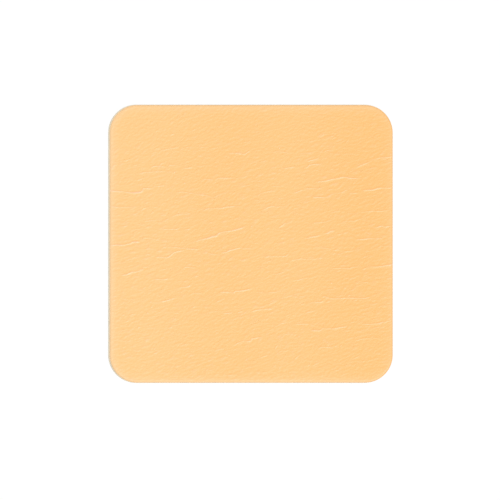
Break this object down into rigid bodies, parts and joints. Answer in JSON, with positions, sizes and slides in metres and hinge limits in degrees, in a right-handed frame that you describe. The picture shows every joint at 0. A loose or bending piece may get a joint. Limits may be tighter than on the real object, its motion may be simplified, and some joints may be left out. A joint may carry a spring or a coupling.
{
  "type": "silicone foam dressing",
  "caption": "Square round-cornered wound dressing: wrinkled film backing on an absorbent foam pad with a soft silicone contact layer underneath.",
  "frame": {"origin": "middle of the underside, the side that lies on the skin", "axes": "+Z out of the film side, +X along the pad's width and +Y along its height, as the film side is seen from above"},
  "size_m": [0.1024, 0.1, 0.0046],
  "materials": {
    "film": "satin",
    "foam": "matt open-cell foam",
    "silicone": "satin, slightly tacky"
  },
  "bodies": {
    "root": {"backing_film": "film", "foam_pad": "foam", "silicone_contact_layer": "silicone"}
  },
  "joints": []
}
